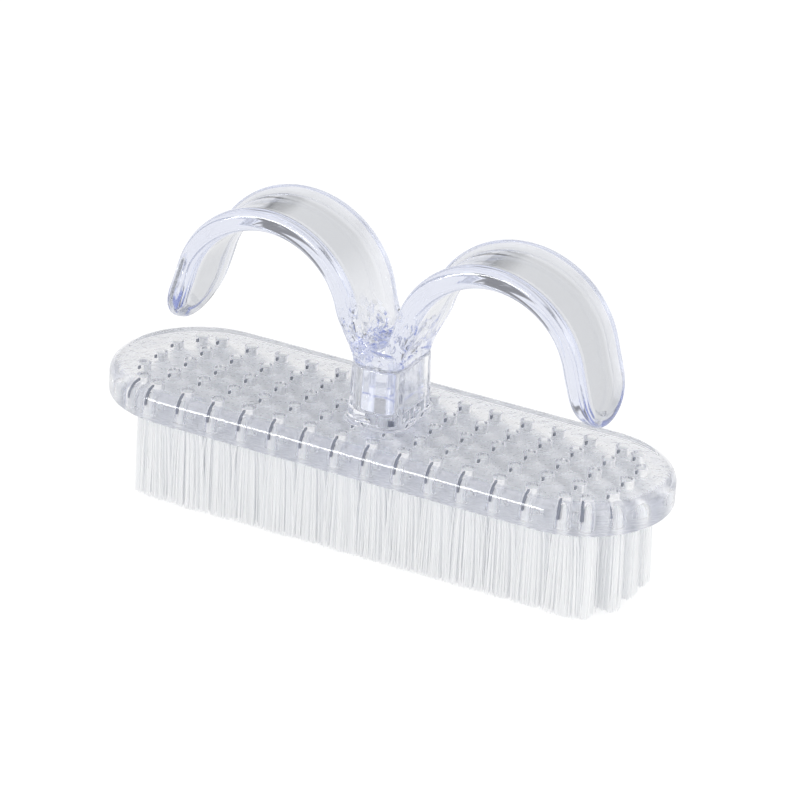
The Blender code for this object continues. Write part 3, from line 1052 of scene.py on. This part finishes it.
anchor = add_box(
    "anchor",
    (ANCHOR_SHIFT - ANCHOR_THICKNESS / 2, -ANCHOR_LENGTH / 2, ANCHOR_TOP - ANCHOR_HEIGHT),
    (ANCHOR_SHIFT + ANCHOR_THICKNESS / 2, ANCHOR_LENGTH / 2, ANCHOR_TOP),
)
edit(anchor)
round_edges(anchor, ANCHOR_ROUNDING, 2, lambda edge: True)
deselect_all()
anchor.data.materials.append(dull_metal)


def anchor_piece(column):
    twins = [copy_to(anchor, center) for center in hole_centers(column)]
    make_active(twins[0])
    for twin in twins:
        twin.select_set(True)
    bpy.ops.object.join()
    twins[0].name = f"anchors_{column + 1:02d}"
    bpy.ops.object.shade_smooth_by_angle(angle=ANCHOR_SMOOTH_ANGLE)
    return twins[0]


anchors = [anchor_piece(column) for column in range(COLUMNS)]
bpy.data.objects.remove(anchor, do_unlink=True)
report(anchors[0])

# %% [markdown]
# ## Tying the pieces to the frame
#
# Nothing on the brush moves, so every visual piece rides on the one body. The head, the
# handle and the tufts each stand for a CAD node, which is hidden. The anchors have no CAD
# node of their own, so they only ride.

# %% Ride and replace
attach(head, "root")
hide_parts("brush_head")
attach(handle, "root")
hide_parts("finger_handle")
for column in range(COLUMNS):
    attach(tufts[column], "root")
    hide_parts(f"tuft_column_{column + 1:02d}")
    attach(anchors[column], "root")
print("pieces that ride:", 2 + len(tufts) + len(anchors))

# %% [markdown]
# ## Camera
#
# A likeness needs the photograph's own viewpoint. It could be found by eye, but a fit is
# surer: the 80 holes and the outline of the head fix the camera's direction, distance and
# focal length. The camera is then built from those numbers.

# %% Camera
CAMERA_TURN = math.radians(26.034)
CAMERA_RISE = math.radians(24.607)
CAMERA_ROLL = math.radians(3.698)
CAMERA_DISTANCE = 671.641 * MM
EYE_RIGHT = 1.765
EYE_UP = 1.723
FOCAL_PIXELS = 4358.7
FRAME_PIXELS = 800
SENSOR = 36.0

back = Vector((
    math.sin(CAMERA_TURN) * math.cos(CAMERA_RISE),
    -math.cos(CAMERA_TURN) * math.cos(CAMERA_RISE),
    math.sin(CAMERA_RISE),
))
level_right = Vector((math.cos(CAMERA_TURN), math.sin(CAMERA_TURN), 0))
level_up = back.cross(level_right)
right = math.cos(CAMERA_ROLL) * level_right + math.sin(CAMERA_ROLL) * level_up
up = -math.sin(CAMERA_ROLL) * level_right + math.cos(CAMERA_ROLL) * level_up
deck_center = Vector((0, 0, DECK))
eye = deck_center + back * CAMERA_DISTANCE + right * EYE_RIGHT * MM + up * EYE_UP * MM
matrix = Matrix((right, up, back)).transposed().to_4x4()
matrix.translation = eye

lens = bpy.data.cameras.new("camera")
lens.sensor_width = SENSOR
lens.lens = FOCAL_PIXELS * SENSOR / FRAME_PIXELS
lens.clip_start = 0.01
camera = bpy.data.objects.new("camera", lens)
bpy.context.scene.collection.objects.link(camera)
camera.matrix_world = matrix
bpy.context.scene.camera = camera
print(f"camera {CAMERA_DISTANCE / MM:.0f} mm away with a {lens.lens:.0f} mm lens")

# %% [markdown]
# ## Floor and room
#
# Clear plastic has no look of its own: it shows its surroundings, bent. So the room matters
# more than the lamps. It could be built from cards and backdrops, but the world's own nodes
# do the same and cast no shadow. The room is white with a grey band high up. A small dark
# spot where the camera stands and a low dark zone behind the brush draw darker lines in the
# plastic. All of it is fixed in the room. The floor is pale and takes the object's shadow.
# Rays that look at the room see this, and light from it is kept plain and even.

# %% Studio helpers
def seen_mask(sheet):
    """1 for the rays that look at a thing, straight or through gloss or glass, 0 for light."""
    straight = sheet.ray("Is Camera Ray")
    in_gloss = sheet.ray("Is Glossy Ray")
    through = sheet.ray("Is Transmission Ray")
    scattered = sheet.ray("Diffuse Depth")
    looking = sheet.math("MAXIMUM", sheet.math("MAXIMUM", straight, in_gloss), through)
    return looking * (1.0 - sheet.math("MINIMUM", scattered, 1.0))


# %% Floor
FLOOR_SIZE = 6.0
FLOOR_DROP = 0.05 * MM
FLOOR_GLOW = 0.53
CAMERA_GLOW = 0.09

deselect_all()
bpy.ops.mesh.primitive_plane_add(size=FLOOR_SIZE, location=(0, 0, -FLOOR_DROP))
floor = bpy.context.object
floor.name = "floor"
bpy.ops.object.transform_apply(location=True, rotation=True, scale=True)
floor_paint = bpy.data.materials.new("floor_paint")
sheet = Sheet(floor_paint)
spot = sheet.place()
speck = sheet.noise(spot, 300.0, 2.0)
pale = sheet.blend(speck, (0.45, 0.45, 0.45, 1), (0.46, 0.46, 0.46, 1))
camera_ray = sheet.ray("Is Camera Ray")
matte = sheet.node("ShaderNodeBsdfDiffuse", {}, {"Color": pale})
glowing = {"Color": (1, 1, 1, 1), "Strength": FLOOR_GLOW + camera_ray * CAMERA_GLOW}
glow = sheet.node("ShaderNodeEmission", {}, glowing)
shown = sheet.node("ShaderNodeAddShader", {}, {0: matte, 1: glow})
plain = sheet.node("ShaderNodeBsdfDiffuse", {}, {"Color": (0.95, 0.95, 0.95, 1)})
sheet.finish(sheet.node("ShaderNodeMixShader", {}, {0: seen_mask(sheet), 1: plain, 2: shown}))
floor.data.materials.append(floor_paint)
print(f"floor: {FLOOR_SIZE:.0f} m square")

# %% World
ROOM_LEVEL = 1.05
BAND_START = (0.62, 0.7)
BAND_END = (0.8, 0.88)
BAND_DARKNESS = 0.5
CAMERA_SPOT = (0.955, 0.985)
CAMERA_SPOT_DARKNESS = 0.8
ZONE_WIDTH = (0.6, 0.7)
ZONE_START = (0.12, 0.18)
ZONE_END = (0.38, 0.48)
ZONE_DARKNESS = 0.75

world = bpy.data.worlds.new("studio")
bpy.context.scene.world = world
sheet = Sheet(world)
direction = sheet.node("ShaderNodeTexCoord", {}, {}, "Generated")
height = sheet.axis(direction, "Z")
toward_eye = sheet.vector("DOT_PRODUCT", direction, back, output="Value")
grey_band = sheet.step(height, *BAND_START) - sheet.step(height, *BAND_END)
dark_spot = sheet.step(toward_eye, *CAMERA_SPOT)
behind = Vector((-back.x, -back.y, 0.0)).normalized()
toward_behind = sheet.vector("DOT_PRODUCT", direction, behind, output="Value")
dark_zone = sheet.step(toward_behind, *ZONE_WIDTH) * (
    sheet.step(height, *ZONE_START) - sheet.step(height, *ZONE_END))
level = (ROOM_LEVEL - grey_band * BAND_DARKNESS) * (
    1.0 - dark_spot * CAMERA_SPOT_DARKNESS) * (1.0 - dark_zone * ZONE_DARKNESS)
room_color = sheet.node("ShaderNodeCombineColor", {}, {0: level, 1: level, 2: level})
camera_ray = sheet.ray("Is Camera Ray")
room_color = sheet.blend(camera_ray, room_color, (1, 1, 1, 1))
room = sheet.node("ShaderNodeBackground", {}, {"Color": room_color, "Strength": 1.0})
even_light = {"Color": (1.0, 0.998, 0.998, 1), "Strength": 1.0}
ambient = sheet.node("ShaderNodeBackground", {}, even_light)
mixed = sheet.node("ShaderNodeMixShader", {}, {0: seen_mask(sheet), 1: ambient, 2: room})
sheet.finish(mixed, "ShaderNodeOutputWorld")
print("room:", world.name, "with", len(world.node_tree.nodes), "nodes")

# %% [markdown]
# ## Lamps
#
# The room gives nearly all the light, so the two large softboxes at the front are weak. The
# bright line along the front edge of the head is a reflection in its rounding. It could be
# painted on, but then it would stay put when the view changes. So a long low lamp stands at
# the front left, where the rounding mirrors it to the camera. It is hidden from diffuse rays
# and from rays that pass through the plastic, and only shows as a reflection.

# %% Softboxes
STRIP_DISTANCE = 0.9
STRIP_HEIGHT = 0.15


def softbox(name, place, size, power):
    light = bpy.data.lights.new(name, "AREA")
    light.shape = "RECTANGLE"
    light.size, light.size_y = size
    light.energy = power
    lamp = bpy.data.objects.new(name, light)
    bpy.context.scene.collection.objects.link(lamp)
    lamp.location = place
    lamp.rotation_euler = (deck_center - Vector(place)).to_track_quat("-Z", "Y").to_euler()
    return lamp


softbox("key_softbox", place=(-0.45, -0.35, 0.6), size=(0.5, 0.35), power=0.1)
softbox("fill_softbox", place=(0.5, -0.4, 0.35), size=(0.5, 0.5), power=0.35)
mirror = Vector((-back.x, back.y, 0.0)).normalized() * STRIP_DISTANCE
strip_place = (mirror.x, mirror.y, STRIP_HEIGHT)
edge_strip = softbox("edge_strip", place=strip_place, size=(0.58, 0.17), power=4.8)
edge_strip.visible_diffuse = False
edge_strip.visible_transmission = False

# %% [markdown]
# ## Light through many walls
# A ray that crosses the head and its tufts meets dozens of surfaces, and each one uses up a
# bounce. With few bounces the clear parts go dark, so the limits are raised. The filter that
# blurs glossy light after a soft bounce loses light in an evenly lit white room, so it is off.
# Colours are shown plainly.

# %% View settings and bounces
MANY_BOUNCES = 64
DIFFUSE_BOUNCES = 32

scene = bpy.context.scene
scene.view_settings.view_transform = "Standard"
scene.cycles.blur_glossy = 0.0
scene.cycles.max_bounces = MANY_BOUNCES
scene.cycles.diffuse_bounces = DIFFUSE_BOUNCES
scene.cycles.transmission_bounces = MANY_BOUNCES
scene.cycles.glossy_bounces = MANY_BOUNCES
print("bounces:", scene.cycles.max_bounces)
